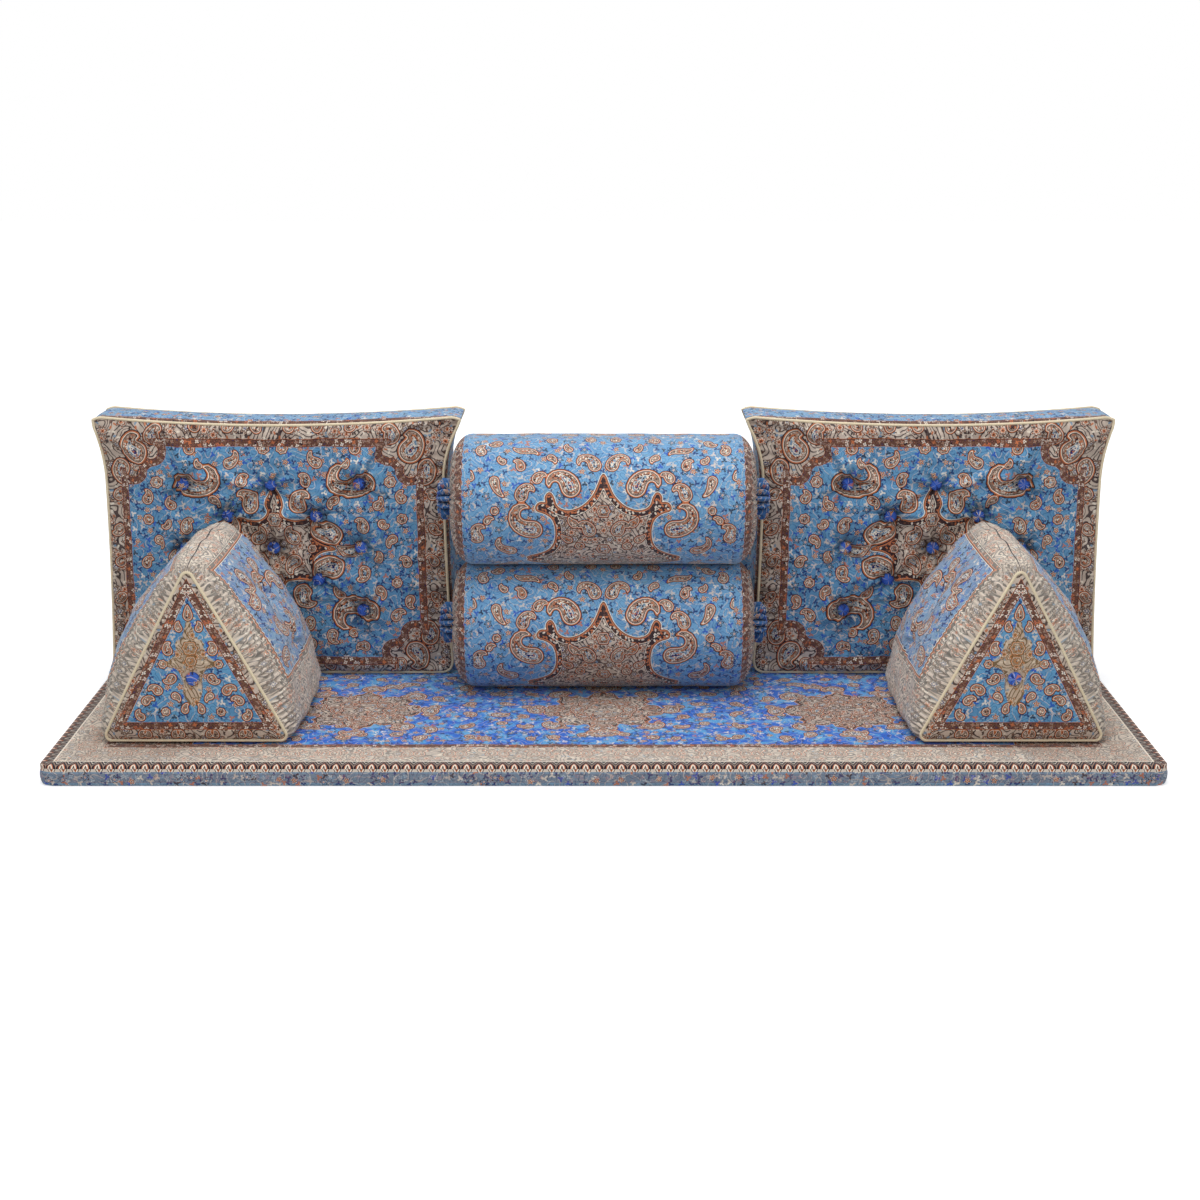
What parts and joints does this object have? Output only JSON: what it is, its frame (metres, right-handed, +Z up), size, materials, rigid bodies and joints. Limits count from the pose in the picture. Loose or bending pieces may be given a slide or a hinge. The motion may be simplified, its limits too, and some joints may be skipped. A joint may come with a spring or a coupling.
{
  "type": "majlis floor sofa",
  "caption": "Floor seating set of loose cushions: thin mattress, tufted back cushions, stacked bolsters and wedge arm cushions, all in paisley brocade.",
  "frame": {"origin": "middle of the mattress's base, on the floor", "axes": "+X along the sofa to the right as seen from the front, +Y to the back, +Z up"},
  "size_m": [2.0074, 0.7601, 0.5682],
  "materials": {
    "cushion_cloth": "brocade, blue ground with beige and rust paisleys",
    "plain_cloth": "brocade with small scattered florets",
    "band_cloth": "brocade in the small pattern",
    "bolster_cloth": "brocade, light blue ground with beige paisleys",
    "bolster_end_cloth": "brocade border, gathered",
    "wedge_cloth": "brocade with a gathered beige border",
    "mattress_cloth": "brocade, royal blue ground with medallions and border",
    "mattress_band": "brocade border strip",
    "base_cloth": "plain lining cloth",
    "piping": "cream satin cord",
    "button_cloth": "covered buttons",
    "foam": "open-cell polyurethane foam",
    "cotton_stuffing": "packed cotton and fibre",
    "twine": "waxed upholstery twine",
    "zip_tape": "woven tape with coil chain",
    "zip_metal": "pressed metal"
  },
  "bodies": {
    "mattress": {"mattress_base_panel": "base_cloth", "mattress_foam": "foam", "mattress_side_band": "mattress_band", "mattress_top_panel": "mattress_cloth", "mattress_zip_tape": "zip_tape"},
    "back_cushion_left": {"back_cushion_left_back_buttons": "button_cloth", "back_cushion_left_back_panel": "plain_cloth", "back_cushion_left_back_piping": "piping", "back_cushion_left_core": "foam", "back_cushion_left_front_buttons": "button_cloth", "back_cushion_left_front_panel": "cushion_cloth", "back_cushion_left_front_piping": "piping", "back_cushion_left_side_band": "band_cloth", "back_cushion_left_tuft_twines": "twine"},
    "back_cushion_right": {"back_cushion_right_back_buttons": "button_cloth", "back_cushion_right_back_panel": "plain_cloth", "back_cushion_right_back_piping": "piping", "back_cushion_right_core": "foam", "back_cushion_right_front_buttons": "button_cloth", "back_cushion_right_front_panel": "cushion_cloth", "back_cushion_right_front_piping": "piping", "back_cushion_right_side_band": "band_cloth", "back_cushion_right_tuft_twines": "twine"},
    "wedge_left": {"wedge_left_back_end_panel": "wedge_cloth", "wedge_left_back_piping": "piping", "wedge_left_buttons": "button_cloth", "wedge_left_core": "foam", "wedge_left_front_end_panel": "wedge_cloth", "wedge_left_front_piping": "piping", "wedge_left_tuft_twines": "twine", "wedge_left_wrap": "wedge_cloth"},
    "wedge_right": {"wedge_right_back_end_panel": "wedge_cloth", "wedge_right_back_piping": "piping", "wedge_right_buttons": "button_cloth", "wedge_right_core": "foam", "wedge_right_front_end_panel": "wedge_cloth", "wedge_right_front_piping": "piping", "wedge_right_tuft_twines": "twine", "wedge_right_wrap": "wedge_cloth"},
    "bolster_lower": {"bolster_lower_core": "cotton_stuffing", "bolster_lower_cover": "bolster_cloth", "bolster_lower_left_end": "bolster_end_cloth", "bolster_lower_left_rosette": "bolster_end_cloth", "bolster_lower_right_end": "bolster_end_cloth", "bolster_lower_right_rosette": "bolster_end_cloth", "bolster_lower_zip_tape": "zip_tape"},
    "bolster_upper": {"bolster_upper_core": "cotton_stuffing", "bolster_upper_cover": "bolster_cloth", "bolster_upper_left_end": "bolster_end_cloth", "bolster_upper_left_rosette": "bolster_end_cloth", "bolster_upper_right_end": "bolster_end_cloth", "bolster_upper_right_rosette": "bolster_end_cloth", "bolster_upper_zip_tape": "zip_tape"},
    "mattress_zip_slider": {"mattress_zip_slider": "zip_metal"},
    "mattress_zip_pull": {"mattress_zip_pull": "zip_metal"},
    "bolster_lower_zip_slider": {"bolster_lower_zip_slider": "zip_metal"},
    "bolster_lower_zip_pull": {"bolster_lower_zip_pull": "zip_metal"},
    "bolster_upper_zip_slider": {"bolster_upper_zip_slider": "zip_metal"},
    "bolster_upper_zip_pull": {"bolster_upper_zip_pull": "zip_metal"}
  },
  "joints": [
    {"name": "back_cushion_left_lift", "type": "slide", "parent": "mattress", "child": "back_cushion_left", "axis": [0, 0, 1], "range_m": [0, 0.6]},
    {"name": "back_cushion_right_lift", "type": "slide", "parent": "mattress", "child": "back_cushion_right", "axis": [0, 0, 1], "range_m": [0, 0.6]},
    {"name": "wedge_left_lift", "type": "slide", "parent": "mattress", "child": "wedge_left", "axis": [0, 0, 1], "range_m": [0, 0.6]},
    {"name": "wedge_right_lift", "type": "slide", "parent": "mattress", "child": "wedge_right", "axis": [0, 0, 1], "range_m": [0, 0.6]},
    {"name": "bolster_lower_draw", "type": "slide", "parent": "mattress", "child": "bolster_lower", "axis": [0, -1, 0], "range_m": [0, 0.65]},
    {"name": "bolster_upper_draw", "type": "slide", "parent": "bolster_lower", "child": "bolster_upper", "axis": [0, -1, 0], "range_m": [0, 0.65]},
    {"name": "mattress_zip_slide", "type": "slide", "parent": "mattress", "child": "mattress_zip_slider", "axis": [-1, 0, 0], "range_m": [0, 1.0802]},
    {"name": "mattress_zip_pull_swing", "type": "hinge", "parent": "mattress_zip_slider", "child": "mattress_zip_pull", "pos_m": [0.5402, 0.38115, 0.0155], "axis": [0, 0, -1], "range_deg": [0, 180]},
    {"name": "bolster_lower_zip_slide", "type": "slide", "parent": "bolster_lower", "child": "bolster_lower_zip_slider", "axis": [-1, 0, 0], "range_m": [0, 0.3802]},
    {"name": "bolster_lower_zip_pull_swing", "type": "hinge", "parent": "bolster_lower_zip_slider", "child": "bolster_lower_zip_pull", "pos_m": [0.1902, 0.22945, 0.1633], "axis": [0, 0, -1], "range_deg": [0, 180]},
    {"name": "bolster_upper_zip_slide", "type": "slide", "parent": "bolster_upper", "child": "bolster_upper_zip_slider", "axis": [-1, 0, 0], "range_m": [0, 0.3802]},
    {"name": "bolster_upper_zip_pull_swing", "type": "hinge", "parent": "bolster_upper_zip_slider", "child": "bolster_upper_zip_pull", "pos_m": [0.1902, 0.22945, 0.4136], "axis": [0, 0, -1], "range_deg": [0, 180]}
  ]
}
